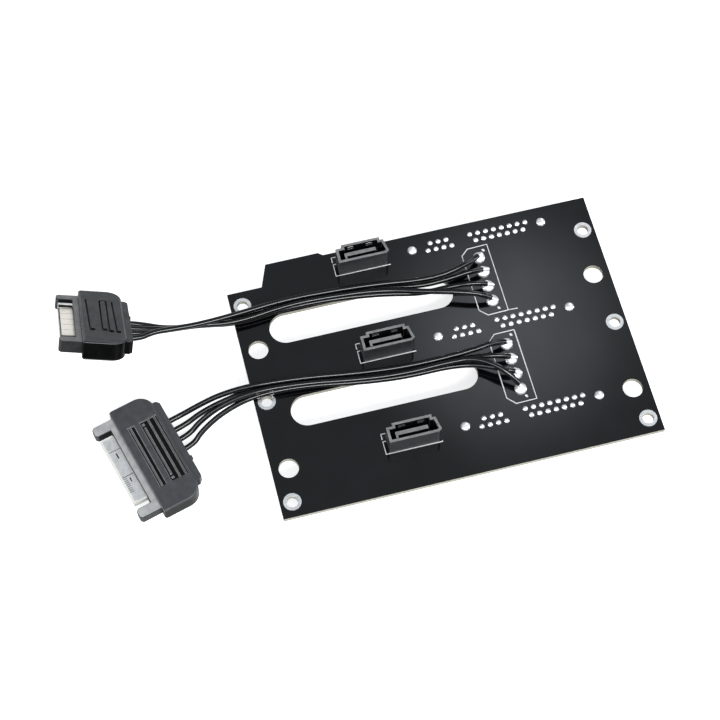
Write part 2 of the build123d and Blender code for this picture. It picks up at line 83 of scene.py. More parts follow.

# %% [markdown]
# Each pigtail has four plain wires from its plug to its pads. A wire is one smooth spline with a
# round bevel, because a real wire has no corners. Its control points are listed along
# the way that the wire takes: out of the plug, up over the board's edge, over the slot and down
# to its pad. They are written in millimetres.

# %% Wire routes
WIRE_DIAMETER = 1.7 * MM
wire_routes = {
    "a_1": [(-89.717, 23.683, 16.989), (-86.66, 23.06, 16.27), (-82, 24.6, 15.5), (-76, 24.4, 15.1),
            (-68, 23.7, 15.6), (-57, 24.5, 15.0), (-41, 26.5, 13.6), (-26, 25.9, 13.6), (-12, 24.7, 13.7),
            (0, 22.6, 14.2), (8.5, 22.4, 14.9), (16.2, 24.6, 15.0), (19.5, 27.1, 12.65)],
    "a_2": [(-89.642, 26.424, 14.928), (-85.53, 25.59, 13.97), (-78, 25.4, 13.2), (-68, 24.5, 13.5),
            (-57, 22.5, 13.6), (-41, 24.7, 13.5), (-26, 24.1, 13.5), (-12, 22.5, 13.7), (0, 18.6, 14.3),
            (8.5, 16.1, 14.9), (16.5, 13.4, 14.9), (19.6, 12.3, 12.65)],
    "a_3": [(-89.566, 29.166, 12.868), (-85.17, 28.27, 11.84), (-78, 26.6, 11.5), (-68, 25.3, 11.8),
            (-57, 23.1, 11.7), (-41, 24.7, 11.7), (-26, 24.1, 11.7), (-12, 22.2, 11.8), (0, 19.0, 12.2),
            (9, 19.0, 12.7), (16.2, 17.7, 14.2), (19.6, 17.22, 12.65)],
    "a_4": [(-89.49, 31.907, 10.807), (-85.19, 31.03, 9.8), (-78, 27.9, 9.3), (-68, 26.4, 9.7),
            (-57, 25.2, 12.0), (-41, 26.5, 11.75), (-26, 25.9, 11.7), (-12, 24.4, 11.8), (0, 21.6, 12.3),
            (9, 21.6, 12.9), (16.1, 21.9, 14.3), (19.6, 22.3, 12.65)],
    "b_1": [(-84.232, 0.273, 3.05), (-79.7, 1.53, 3.05), (-73.5, 2.3, 5.9), (-66.5, 2.2, 10.0),
            (-57, 0.8, 14.2), (-41, -0.3, 13.6), (-26, -2.7, 13.6), (-12, -4.2, 13.7), (1, -4.4, 14.1),
            (10, -4.2, 14.6), (16.2, -3.3, 14.7), (19.6, -3.09, 12.65)],
    "b_2": [(-83.315, -3.032, 3.05), (-78.79, -1.78, 3.05), (-74, -0.2, 5.2), (-67, 0.3, 8.8),
            (-57, 0.6, 12.2), (-41, -0.2, 11.75), (-26, -2.9, 11.7), (-12, -4.4, 11.8), (1, -4.7, 12.3),
            (9.5, -5.9, 13.0), (16, -7.5, 14.4), (19.6, -8.1, 12.65)],
    "b_3": [(-82.398, -6.337, 3.05), (-78.35, -5.21, 3.05), (-74.6, -2.9, 5.4), (-67.5, -1.3, 9.8),
            (-57, -1.1, 14.1), (-41, -2.1, 13.5), (-26, -4.8, 13.5), (-12, -6.3, 13.6), (1, -6.1, 14.2),
            (9.5, -7.2, 15.3), (16.9, -13.6, 16.2), (19.8, -17.5, 12.6)],
    "b_4": [(-81.482, -9.642, 3.05), (-77.63, -8.57, 3.05), (-74.9, -6.1, 4.9), (-67.5, -3.2, 8.8),
            (-57, -1.5, 12.2), (-41, -2.1, 11.7), (-26, -4.9, 11.7), (-12, -6.5, 11.7), (1, -6.5, 12.1),
            (9.5, -8.1, 12.5), (15.9, -12.0, 14.2), (19.6, -13.1, 12.6)],
}

# %% Make the wires
ROUND_STEPS = 5
LENGTH_STEPS = 10
SPLINE_ORDER = 3


def lay_wire(name, points):
    """Makes a round wire whose line follows control points, in millimetres.

    Blender counts a point's radius, 1 m by default, into the object's box. So each point
    has the wire's real radius, and the bevel multiplies it by one.
    """
    curve = bpy.data.curves.new(name, "CURVE")
    curve.dimensions = "3D"
    curve.bevel_depth = 1.0
    curve.bevel_resolution = ROUND_STEPS
    curve.resolution_u = LENGTH_STEPS
    curve.use_fill_caps = True
    spline = curve.splines.new("NURBS")
    spline.points.add(len(points) - 1)
    for control, point in zip(spline.points, points):
        control.co = (*(Vector(point) * MM), 1)
        control.radius = WIRE_DIAMETER / 2
    spline.order_u = SPLINE_ORDER
    spline.use_endpoint_u = True
    wire = bpy.data.objects.new(name, curve)
    bpy.context.scene.collection.objects.link(wire)
    return wire


wires = {}
for key, points in wire_routes.items():
    # The first wire of a plug leaves the board's pad and has the plug at its far end, so its points
    # run backwards. The other three leave the plug and end on the board.
    from_pad = key.endswith("_1")
    wires[key] = lay_wire(f"wire_{key}", points[::-1] if from_pad else points)
    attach(wires[key], "root")
    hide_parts(f"pigtail_wire_{key}")
print("wires:", len(wires))

# %% [markdown]
# A finish is a material made of nodes. Effects that several finishes share are node groups: moulded
# grain, which is a fine noise height, and handling marks, which are broad soft patches. A group puts
# out values only, and the shader stays in the material.

# %% Nodes that are used again
def add_noise(tree, scale, detail):
    """A noise texture on object coordinates."""
    place = tree.nodes.new("ShaderNodeTexCoord")
    noise = tree.nodes.new("ShaderNodeTexNoise")
    noise.inputs["Scale"].default_value = scale
    noise.inputs["Detail"].default_value = detail
    tree.links.new(place.outputs["Object"], noise.inputs["Vector"])
    return noise


def add_math(tree, operation, second=None):
    """A math node, with its second value set where one is given."""
    node = tree.nodes.new("ShaderNodeMath")
    node.operation = operation
    if second is not None:
        node.inputs[1].default_value = second
    return node


def add_range(tree, low, high, interpolation="LINEAR"):
    """A node that maps the range from low to high onto its To values, 0 and 1 by default."""
    node = tree.nodes.new("ShaderNodeMapRange")
    node.interpolation_type = interpolation
    node.inputs["From Min"].default_value = low
    node.inputs["From Max"].default_value = high
    return node


def add_colour_mix(tree, first=(0, 0, 0), second=(0, 0, 0)):
    """A node that mixes two colours."""
    node = tree.nodes.new("ShaderNodeMix")
    node.data_type = "RGBA"
    node.inputs["A"].default_value = (*first, 1)
    node.inputs["B"].default_value = (*second, 1)
    return node


# %% Shared effects
GRAIN_SCALE = 4000.0
MARKS_SCALE = 60.0
NOISE_LOW = 0.35
NOISE_HIGH = 0.65


def new_group(name, inputs, output):
    """Starts a shader node group with named float inputs and one float output."""
    group = bpy.data.node_groups.new(name, "ShaderNodeTree")
    for label, value in inputs.items():
        socket = group.interface.new_socket(label, in_out="INPUT", socket_type="NodeSocketFloat")
        socket.default_value = value
    group.interface.new_socket(output, in_out="OUTPUT", socket_type="NodeSocketFloat")
    entry = group.nodes.new("NodeGroupInput")
    leave = group.nodes.new("NodeGroupOutput")
    return group, entry, leave


grain_group, grain_in, grain_out = new_group("moulded_grain", {"Scale": GRAIN_SCALE}, "Height")
grain_noise = add_noise(grain_group, GRAIN_SCALE, 4)
grain_group.links.new(grain_in.outputs["Scale"], grain_noise.inputs["Scale"])
grain_group.links.new(grain_noise.outputs["Fac"], grain_out.inputs["Height"])

marks_values = {"Scale": MARKS_SCALE, "Low": 0.0, "High": 1.0}
marks_group, marks_in, marks_out = new_group("handling_marks", marks_values, "Value")
marks_noise = add_noise(marks_group, MARKS_SCALE, 5)
marks_range = add_range(marks_group, NOISE_LOW, NOISE_HIGH)
marks_group.links.new(marks_in.outputs["Scale"], marks_noise.inputs["Scale"])
marks_group.links.new(marks_noise.outputs["Fac"], marks_range.inputs["Value"])
marks_group.links.new(marks_in.outputs["Low"], marks_range.inputs["To Min"])
marks_group.links.new(marks_in.outputs["High"], marks_range.inputs["To Max"])
marks_group.links.new(marks_range.outputs["Result"], marks_out.inputs["Value"])
print("groups:", [group.name for group in bpy.data.node_groups])

# %% Build a finish
TONE_SCALE = 2.3


def new_finish(name, rough, grain, depth, low, high, patch, metallic=0.0, shine=0.5):
    """A finish whose colour wanders from low to high, with grain and uneven gloss.

    The grain has a noise scale and a depth in metres, and patch is the noise scale of the gloss.
    """
    material = bpy.data.materials.new(name)
    material.use_nodes = True
    tree = material.node_tree
    shader = tree.nodes["Principled BSDF"]
    shader.inputs["Metallic"].default_value = metallic
    shader.inputs["Specular IOR Level"].default_value = shine
    gloss = tree.nodes.new("ShaderNodeGroup")
    gloss.node_tree = marks_group
    gloss.inputs["Scale"].default_value = patch
    gloss.inputs["Low"].default_value = rough[0]
    gloss.inputs["High"].default_value = rough[1]
    tree.links.new(gloss.outputs["Value"], shader.inputs["Roughness"])
    tone = tree.nodes.new("ShaderNodeGroup")
    tone.node_tree = marks_group
    tone.inputs["Scale"].default_value = patch * TONE_SCALE
    colour = add_colour_mix(tree, low, high)
    tree.links.new(tone.outputs["Value"], colour.inputs["Factor"])
    tree.links.new(colour.outputs["Result"], shader.inputs["Base Color"])
    surface = tree.nodes.new("ShaderNodeGroup")
    surface.node_tree = grain_group
    surface.inputs["Scale"].default_value = grain
    bump = tree.nodes.new("ShaderNodeBump")
    bump.inputs["Distance"].default_value = depth
    bump.inputs["Strength"].default_value = 1.0
    tree.links.new(surface.outputs["Height"], bump.inputs["Height"])
    tree.links.new(bump.outputs["Normal"], shader.inputs["Normal"])
    return material


def grey(value, warmth=0.0):
    """A near-neutral colour, with its blue moved up or down by warmth."""
    return (value, value, value * (1 - warmth))


# %% [markdown]
# Black and grey plastics differ by a few hundredths in brightness, so each finish has its own
# two greys. The lighter greys of the rounds, the rims and the frame's top are painted highlights,
# and the darker greys of the walls, undersides and hollows are painted shade, each a finish of its own.

# %% Finishes
finishes = {
    "black_plastic": new_finish("black_connector_plastic", (0.30, 0.42), 6000, 8e-6,
                                grey(0.026, -0.1), grey(0.038, -0.1), 300, shine=0.35),
    # A painted highlight on the rounds of the black connectors.
    "painted_connector_highlight": new_finish("connector_rounds_painted_highlight", (0.24, 0.34), 6000, 3e-6,
                                 grey(0.70), grey(0.80), 300),
    # A painted highlight on the tops of the data headers' rims.
    "painted_rim_highlight": new_finish("connector_rim_painted_highlight", (0.30, 0.42), 6000, 6e-6, grey(0.16), grey(0.24), 300),
    "cover_plastic": new_finish("satin_cover_plastic", (0.34, 0.46), 5000, 1.2e-5,
                                grey(0.040, -0.12), grey(0.055, -0.12), 200),
    # Painted shade on the plugs' undersides: a darker copy of the cover's satin.
    "painted_underside_shade": new_finish("cover_underside_painted_shade", (0.38, 0.50), 5000, 1.2e-5,
                                grey(0.020, -0.12), grey(0.028, -0.12), 200, shine=0.2),
    # Painted shade on the plugs' side walls.
    "painted_side_shade": new_finish("cover_sides_painted_shade", (0.16, 0.24), 4000, 4e-6,
                               grey(0.002), grey(0.004), 200, shine=0.08),
    # A painted highlight on the rounds of the plugs.
    "painted_cover_highlight": new_finish("cover_rounds_painted_highlight", (0.22, 0.32), 4000, 3e-6, grey(0.24), grey(0.30), 200),
    # Painted deep shade in grooves, hollows and the gaps between parts.
    "painted_deep_shade": new_finish("plastic_in_painted_deep_shade", (0.30, 0.40), 5000, 8e-6,
                                 grey(0.003), grey(0.005), 200, shine=0.12),
    "frame_plastic": new_finish("grey_frame_plastic", (0.36, 0.48), 5000, 1.0e-5,
                                grey(0.12, -0.02), grey(0.16, -0.02), 200, shine=0.3),
    # Painted light on the top faces of the plug's frame.
    "painted_light_on_frame": new_finish("frame_upper_face_painted_light", (0.36, 0.48), 5000, 1.0e-5, grey(0.34), grey(0.46), 200),
    # Painted shade on the frame's walls and rounds, and under the tongue between the blades.
    "painted_frame_shade": new_finish("frame_walls_painted_shade", (0.30, 0.42), 5000, 8e-6,
                             grey(0.018), grey(0.028), 200, shine=0.2),
    "ivory_plastic": new_finish("ivory_tongue_plastic", (0.35, 0.5), 5000, 4e-6,
                                grey(0.74, 0.08), grey(0.82, 0.08), 200),
    "plate_metal": new_finish("brushed_plate", (0.34, 0.46), 3000, 1e-6,
                              grey(0.60), grey(0.72), 400, metallic=0.6),
    "contact": new_finish("plated_contact", (0.30, 0.42), 3000, 1e-6,
                          (0.90, 0.84, 0.74), (0.96, 0.91, 0.82), 400, metallic=0.2),
    "tin": new_finish("bright_tin", (0.22, 0.36), 2500, 1.5e-5, grey(0.82), grey(0.92), 500, metallic=0.85),
    "solder": new_finish("bright_solder", (0.32, 0.46), 1500, 1.2e-5,
                         grey(0.90), grey(0.97), 600, metallic=0.75),
    "wire_jacket": new_finish("black_wire_jacket", (0.12, 0.16), 3000, 2e-6,
                              grey(0.0015), grey(0.0025), 150, shine=0.42),
    "legend_ink": new_finish("white_legend_ink", (0.45, 0.6), 6000, 3e-6, grey(0.72), grey(0.86), 900),
}
print("finishes:", sorted(finishes))

# %% [markdown]
# The board has a glossy black mask on its two faces, and bare laminate, a pale cream, where it is
# cut: round its outline, in the slots and in the holes. One material does both, because a cut wall's
# normal lies flat, and a face's normal stands up.

# %% Board finish
LAMINATE_DARK = (0.42, 0.40, 0.33)
LAMINATE_LIGHT = (0.58, 0.56, 0.48)
LAMINATE_ROUGHNESS = 0.75
FACE_RISE = 0.5
board_finish = new_finish("black_mask_and_laminate", (0.06, 0.10), 900, 4e-7,
                          grey(0.0015, -0.3), grey(0.003, -0.3), 45, shine=0.42)
tree = board_finish.node_tree
shader = tree.nodes["Principled BSDF"]
mask_colour = shader.inputs["Base Color"].links[0].from_socket
mask_gloss = shader.inputs["Roughness"].links[0].from_socket
geometry = tree.nodes.new("ShaderNodeNewGeometry")
split = tree.nodes.new("ShaderNodeSeparateXYZ")
upright = add_math(tree, "ABSOLUTE")
is_face = add_math(tree, "GREATER_THAN", FACE_RISE)
tree.links.new(geometry.outputs["Normal"], split.inputs[0])
tree.links.new(split.outputs["Z"], upright.inputs[0])
tree.links.new(upright.outputs[0], is_face.inputs[0])
layers = add_noise(tree, 900, 3)
laminate = add_colour_mix(tree, LAMINATE_DARK, LAMINATE_LIGHT)
tree.links.new(layers.outputs["Fac"], laminate.inputs["Factor"])
both = add_colour_mix(tree)
tree.links.new(is_face.outputs[0], both.inputs["Factor"])
tree.links.new(laminate.outputs["Result"], both.inputs["A"])
tree.links.new(mask_colour, both.inputs["B"])
tree.links.new(both.outputs["Result"], shader.inputs["Base Color"])
gloss_mix = tree.nodes.new("ShaderNodeMix")
gloss_mix.inputs["A"].default_value = LAMINATE_ROUGHNESS
tree.links.new(is_face.outputs[0], gloss_mix.inputs["Factor"])
tree.links.new(mask_gloss, gloss_mix.inputs["B"])
tree.links.new(gloss_mix.outputs["Result"], shader.inputs["Roughness"])
finishes["board"] = board_finish

# %% [markdown]
# Each node takes the finish of its kind, which the start of its name tells.

# %% Give every node its finish
node_finishes = {
    "circuit_board": "board", "screw_hole_rings": "tin", "drive_receptacle_housing": "black_plastic",
    "receptacle_contacts": "contact", "receptacle_hold_downs": "tin", "receptacle_solder": "solder",
    "data_header_housing": "black_plastic", "data_header_contacts": "contact",
    "data_header_solder": "solder", "plug_cover": "cover_plastic", "plug_frame": "frame_plastic",
    "plug_tongue": "ivory_plastic", "plug_blades": "contact", "plug_cap": "cover_plastic",
    "pigtail_wire": "wire_jacket", "pigtail_solder": "solder",
}
for name, node in frame["nodes"].items():
    for start, finish in node_finishes.items():
        if name.startswith(start):
            node.data.materials.clear()
            node.data.materials.append(finishes[finish])
for wire in wires.values():
    wire.data.materials.append(finishes["wire_jacket"])

# %% [markdown]
# Moulded plastic has no sharp edges: each one is rounded by a tenth of a millimetre or so, and it is
# the light on those small rounds that shows the shape of a black part. A node's mesh can't be
# changed, so a copy of it is merged, cleaned and bevelled, and the copy stands for the node.

# %% Round the edges of a copy
MERGE_DISTANCE = 2e-6
FLAT_ANGLE = radians(1)
ROUNDED_ANGLE = radians(35)
SMOOTH_ANGLE = radians(50)


def deselect():
    """Leaves nothing selected."""
    bpy.ops.object.select_all(action="DESELECT")


def make_active(piece):
    """Selects one piece alone, and makes it the active one."""
    deselect()
    piece.select_set(True)
    bpy.context.view_layer.objects.active = piece


def clean_mesh(piece):
    """Merges doubled points, and dissolves the edges inside flat faces."""
    make_active(piece)
    bpy.ops.object.mode_set(mode="EDIT")
    bpy.ops.mesh.select_all(action="SELECT")
    bpy.ops.mesh.remove_doubles(threshold=MERGE_DISTANCE)
    bpy.ops.mesh.dissolve_limited(angle_limit=FLAT_ANGLE)
    bpy.ops.object.mode_set(mode="OBJECT")


def rounded_copy(node, name, edge, finish, edge_finish, before=None, after=None, clamp=True):
    """Copies a node, rounds its edges and lets the copy stand for it.

    The rounds get a finish of their own, on most pieces a painted highlight or painted shade, and the
    modifier that evens the shading keeps each broad face flat beside them. Work on the shape can be
    given for before and after the rounding.
    The clamp narrows every round to what the shortest edge allows.
    """
    piece = bpy.data.objects.new(name, frame["nodes"][node].data.copy())
    bpy.context.scene.collection.objects.link(piece)
    piece.data.materials.clear()
    piece.data.materials.append(finishes[finish])
    piece.data.materials.append(finishes[edge_finish])
    clean_mesh(piece)
    if before:
        before(piece)
    bevel = piece.modifiers.new("edge_rounds", "BEVEL")
    bevel.width = edge
    bevel.segments = 2
    bevel.limit_method = "ANGLE"
    bevel.angle_limit = ROUNDED_ANGLE
    bevel.use_clamp_overlap = clamp
    # The rounds take the second finish, on most pieces a painted highlight or painted shade.
    bevel.material = 1
    bpy.ops.object.modifier_apply(modifier=bevel.name)
    if after:
        after(piece)
    bpy.ops.object.shade_smooth_by_angle(angle=SMOOTH_ANGLE)
    even = piece.modifiers.new("even_shading", "WEIGHTED_NORMAL")
    even.keep_sharp = True
    even.weight = 100
    bpy.ops.object.modifier_apply(modifier=even.name)
    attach(piece, "root")
    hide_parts(node)
    return piece


# %% [markdown]
# The underside of a plug's cover has narrow channels that end in round dimples. The cover's node has
# one broad recess there. It is filled first, and the channels are cut by Booleans after the edges are
# rounded, so that their own edges stay crisp. All of this happens in the plug's own frame, with the
# coordinates rounded to a thousandth of a millimetre: a Boolean works best on faces that meet
# exactly, and those of a tilted plug don't.

# %% The plugs' own frames
# A plug's place is in millimetres, and its turns about X, Y and Z are in degrees.
plug_places = {
    "a": ((-101.34, 34.4, 17.5), (-141.95, -12.93, 168.48)),
    "b": ((-94.91, -10.99, 0), (0, 0, 195.5)),
}
plug_frames = {}
for letter, (place, turn) in plug_places.items():
    turned = Euler([radians(angle) for angle in turn], "XYZ").to_matrix().to_4x4()
    plug_frames[letter] = Matrix.Translation(Vector(place) * MM) @ turned

# %% Tools that fill and cut
CHANNEL_WIDTH = 0.50 * MM
CHANNEL_DEPTH = 0.75 * MM
DIMPLE_RADIUS = 0.85 * MM
TOOL_START = -0.1 * MM


def apply_tool(piece, tool, operation):
    """Adds a tool's shape to a piece, or cuts it out, and removes the tool."""
    boolean = piece.modifiers.new("tool", "BOOLEAN")
    boolean.operation = operation
    boolean.object = tool
    boolean.solver = "EXACT"
    make_active(piece)
    bpy.ops.object.modifier_apply(modifier=boolean.name)
    bpy.data.objects.remove(tool)


def block(place, low, high):
    """A box between two corners, given in millimetres in the frame that place leads to."""
    deselect()
    bpy.ops.mesh.primitive_cube_add(size=1, location=(0, 0, 0))
    box = bpy.context.active_object
    middle = (Vector(low) + Vector(high)) / 2 * MM
    size = (Vector(high) - Vector(low)) * MM
    box.data.transform(place @ Matrix.Translation(middle) @ Matrix.Diagonal((*size, 1)))
    return box


def channel(line):
    """A narrow wall along a line of places on the plug's underside, given in millimetres.

    The line is extruded to a ribbon, and a Solidify modifier gives the ribbon its width.
    """
    mesh = bpy.data.meshes.new("channel")
    points = [(x * MM, y * MM, TOOL_START) for x, y in line]
    mesh.from_pydata(points, [(i, i + 1) for i in range(len(line) - 1)], [])
    wall = bpy.data.objects.new("channel", mesh)
    bpy.context.scene.collection.objects.link(wall)
    make_active(wall)
    bpy.ops.object.mode_set(mode="EDIT")
    bpy.ops.mesh.select_mode(type="EDGE")
    bpy.ops.mesh.select_all(action="SELECT")
    rise = (0, 0, CHANNEL_DEPTH - TOOL_START)
    bpy.ops.mesh.extrude_region_move(TRANSFORM_OT_translate={"value": rise})
    bpy.ops.object.mode_set(mode="OBJECT")
    width = wall.modifiers.new("width", "SOLIDIFY")
    width.thickness = CHANNEL_WIDTH
    width.offset = 0
    width.use_even_offset = True
    bpy.ops.object.modifier_apply(modifier=width.name)
    return wall


def dimple(place):
    """A short round pin that cuts a dimple in the plug's underside."""
    deselect()
    bpy.ops.mesh.primitive_cylinder_add(vertices=20, radius=DIMPLE_RADIUS, depth=2 * CHANNEL_DEPTH,
                                        location=(0, 0, 0))
    pin = bpy.context.active_object
    pin.data.transform(Matrix.Translation((place[0] * MM, place[1] * MM, 0)))
    return pin


# %% The work on a plug's underside
RECESS_LOW = (-11.3, -10.95, 0)
RECESS_HIGH = (-0.9, 10.95, 0.9)
DECIMALS = 6
ARCH_CENTRE = (-6.43, 10.1)
ARCH_HALF_WIDTH = 1.0
ARCH_RISE = 1.1
arch = []
for degrees in range(0, 181, 20):
    along = ARCH_CENTRE[0] + ARCH_HALF_WIDTH * cos(radians(degrees))
    arch.append((along, ARCH_CENTRE[1] + ARCH_RISE * sin(radians(degrees))))
channel_lines = (
    [(-1.35, 11.4), (-1.72, -8.4), (-2.0, -9.3), (-2.5, -9.65)],
    [(-6.1, -9.5), (-5.6, -9.3), (-5.43, -8.6)] + arch + [(-7.45, -8.9), (-8.0, -10.3)],
    [(-9.2, 10.6), (-9.62, -9.4), (-10.1, -10.5)],
)
dimple_places = ((-2.5, -9.65), (-6.1, -9.45), (-8.0, -10.3), (-10.1, -10.5))


def cover_work(to_row):
    """The work on a plug's cover before its edges are rounded, and after."""

    def fill(piece):
        piece.data.transform(to_row.inverted())
        for vertex in piece.data.vertices:
            vertex.co = [round(value, DECIMALS) for value in vertex.co]
        apply_tool(piece, block(Matrix.Identity(4), RECESS_LOW, RECESS_HIGH), "UNION")
        clean_mesh(piece)

    def carve(piece):
        for line in channel_lines:
            apply_tool(piece, channel(line), "DIFFERENCE")
        for place in dimple_places:
            apply_tool(piece, dimple(place), "DIFFERENCE")
        piece.data.transform(to_row)

    return fill, carve


# %% Make the rounded pieces
CONNECTOR_EDGE = 0.13 * MM
CONNECTORS = (("data_header_housing", "data_header"), ("drive_receptacle_housing", "drive_receptacle"))
# The rounds of the cover take a painted highlight on its ribs and at its mouth, and those of the frame
# painted shade.
PLUG_PARTS = (
    ("cover", 0.11 * MM, "grey_plastic", "cover_plastic", "painted_cover_highlight"),
    ("frame", 0.16 * MM, "light_grey_plastic", "frame_plastic", "painted_frame_shade"),
    ("tongue", 0.10 * MM, "ivory_plastic", "ivory_plastic", "ivory_plastic"),
    ("cap", 0.18 * MM, "grey_plastic", "cover_plastic", "painted_cover_highlight"),
)
for bay in (1, 2, 3):
    for node, name in CONNECTORS:
        # The connectors' rounds take a painted highlight.
        rounded_copy(f"{node}_{bay}", f"{name}_{bay}", CONNECTOR_EDGE, "black_plastic",
                     "painted_connector_highlight")
plug_pieces = {}
for letter, to_row in plug_frames.items():
    plug_pieces[letter] = []
    for part, edge, slot, finish, edge_finish in PLUG_PARTS:
        is_cover = part == "cover"
        fill, carve = cover_work(to_row) if is_cover else (None, None)
        # The cover has edges of a few hundredths at its mouth, so a clamp would leave it no rounds.
        piece = rounded_copy(f"plug_{part}_{letter}", f"power_plug_{part}_{letter}", edge, finish,
                             edge_finish, before=fill, after=carve, clamp=not is_cover)
        plug_pieces[letter].append(piece)
    plug_pieces[letter].append(frame["nodes"][f"plug_blades_{letter}"])
print("plug pieces:", {letter: len(pieces) for letter, pieces in plug_pieces.items()})

# %% [markdown]
# A plug's broad top faces are satin. Its narrow side walls and its undersides are painted shade,
# and its grooves are painted deeper shade still, while the rounds of its ribs and mouth keep a painted
# highlight. Each face is judged in the plug's own frame, where X points out of the mouth, Y
# across and Z up: the height of its centre and the way that it looks say what it is.

# %% Finish each face of the plugs
COVER_HEIGHT = 6.1 * MM
TONGUE_BOTTOM = 2.425 * MM
NEAR = 0.05 * MM
GROOVE_REACH = 10.75 * MM
GROOVE_BACK = -11.55 * MM
GROOVE_FRONT = -0.9 * MM
GROOVE_SHALLOW = 0.02 * MM
GROOVE_DEEP = 0.8 * MM
MOUTH_ROUNDS = 0.3 * MM
ARM_INNER = 13.2 * MM
WALL_RISE = 0.6
FACING = 0.7


def cover_finish(centre, normal, is_round):
    """Painted shade on the side walls, undersides and grooves, and a painted highlight on the rounds of the
    ribs and the mouth only.
    """
    depth = min(centre.z, COVER_HEIGHT - centre.z)
    in_grooves = abs(centre.y) < GROOVE_REACH and GROOVE_BACK < centre.x < GROOVE_FRONT
    if is_round:
        return None if in_grooves or centre.x > MOUTH_ROUNDS else "plain"
    if in_grooves and GROOVE_SHALLOW < depth < GROOVE_DEEP:
        return "painted_deep_shade"
    if abs(normal.z) < WALL_RISE:
        return "painted_side_shade"
    return "painted_underside_shade" if normal.z < 0 else None


def cap_finish(centre, normal, is_round):
    """Painted shade on the walls and the underside, as on the cover."""
    if is_round:
        return "plain"
    if abs(normal.z) < WALL_RISE:
        return "painted_side_shade"
    return "painted_underside_shade" if normal.z < 0 else None


def frame_finish(centre, normal, is_round):
    """Painted light on top, painted deep shade inside the mouth, and painted shade on the other walls and the
    rounds.
    """
    if is_round:
        return None
    if abs(normal.z) > FACING:
        return "painted_light_on_frame" if normal.z > 0 else None
    inward = abs(centre.y) < ARM_INNER and (normal.x > FACING or normal.y * centre.y < 0)
    return "painted_deep_shade" if inward else "painted_frame_shade"


def tongue_finish(centre, normal, is_round):
    """Painted shade between the blades underneath, plated on the key's foot, and painted deep shade on the
    key's walls.
    """
    if is_round or centre.z > TONGUE_BOTTOM + NEAR:
        return None
    if centre.z > TONGUE_BOTTOM - NEAR:
        return "painted_frame_shade" if normal.z < -FACING else None
    return "plate_metal" if normal.z < -FACING else "painted_deep_shade"


def finish_faces(piece, names, rule):
    """Gives each face the finish that a rule names for it, or leaves it as it is."""
    slots = {"plain": 0}
    for finish in names:
        slots[finish] = len(piece.data.materials)
        piece.data.materials.append(finishes[finish])
    for face in piece.data.polygons:
        finish = rule(face.center, face.normal, face.material_index == 1)
        if finish:
            face.material_index = slots[finish]


PLUG_RULES = (
    ("cover", ("painted_underside_shade", "painted_side_shade", "painted_deep_shade"), cover_finish),
    ("cap", ("painted_underside_shade", "painted_side_shade"), cap_finish),
    ("frame", ("painted_light_on_frame", "painted_frame_shade", "painted_deep_shade"), frame_finish),
    ("tongue", ("plate_metal", "painted_deep_shade", "painted_frame_shade"), tongue_finish),
)
for part, names, rule in PLUG_RULES:
    for letter, to_row in plug_frames.items():
        to_plug = to_row.inverted()
        turn = to_plug.to_3x3()
        piece = bpy.data.objects[f"power_plug_{part}_{letter}"]
        finish_faces(piece, names, lambda centre, normal, edge: rule(to_plug @ centre, turn @ normal, edge))
print("plug faces have their finishes")

# %% [markdown]
# On top of a plug's tongue lie three thin metal plates on a seat, a thin sheet of painted shade that
# darkens the slots and gaps between them. Two of the plates have a slot, and the tip of the last is cut
# into short fingers. Each plate is a thin block, and its slots are cut out by Booleans.

# %% Plates on the tongues
TONGUE_TOP = 3.675
CUT_REACH = 1
SEAT_THICKNESS = 0.02
PLATE_THICKNESS = 0.06
PLATE_NEAR = 2.6
PLATE_FAR = 6.25
SEAT_FAR = 6.2
PLATE_SPANS = ((-11.4, -7.3), (-7.1, 1.75), (1.95, 10.3))
COMB_STARTS = (2.4, 3.05, 3.7, 4.35, 5.0, 5.65, 6.3, 6.95)
COMB_WIDTH = 0.16
plate_slots = [(4.1, 4.5, -6.2, -4.35), (4.05, 4.4, 2.6, 4.0)]
plate_slots += [(5.0, 6.5, start, start + COMB_WIDTH) for start in COMB_STARTS]
SEAT_TOP = TONGUE_TOP + SEAT_THICKNESS
PLATE_TOP = TONGUE_TOP + PLATE_THICKNESS
for letter, to_row in plug_frames.items():
    plates = []
    for start, end in PLATE_SPANS:
        plate = block(to_row, (PLATE_NEAR, start, SEAT_TOP), (PLATE_FAR, end, PLATE_TOP))
        plate.data.materials.append(finishes["plate_metal"])
        for near, far, low, high in plate_slots:
            if start < low < end:
                cut_low = (near, low, TONGUE_TOP - CUT_REACH)
                cut_high = (far, high, TONGUE_TOP + CUT_REACH)
                apply_tool(plate, block(to_row, cut_low, cut_high), "DIFFERENCE")
        plates.append(plate)
    # The seat is a thin sheet of painted deep shade, which darkens the slots and gaps between the plates.
    seat_low = (PLATE_NEAR, PLATE_SPANS[0][0], TONGUE_TOP)
    seat = block(to_row, seat_low, (SEAT_FAR, PLATE_SPANS[-1][1], SEAT_TOP))
    seat.data.materials.append(finishes["painted_deep_shade"])
    plates.append(seat)
    make_active(plates[0])
    for plate in plates:
        plate.select_set(True)
    bpy.ops.object.join()
    plates = bpy.context.view_layer.objects.active
    plates.name = f"power_plug_plates_{letter}"
    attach(plates, "root")
    plug_pieces[letter].append(plates)
    print("plates", letter, "faces", len(plates.data.polygons))

# %% [markdown]
# Each wire's key is split into its plug's letter and its number, and its route is looked up.

for key, wire in wires.items():
    letter, number = key.split("_")
    points = wire_routes[key]

# %% [markdown]
# Places on the board are measured from its front left corner, as on a drawing of it. The rows of
# the three bays are 24 contact pitches apart.

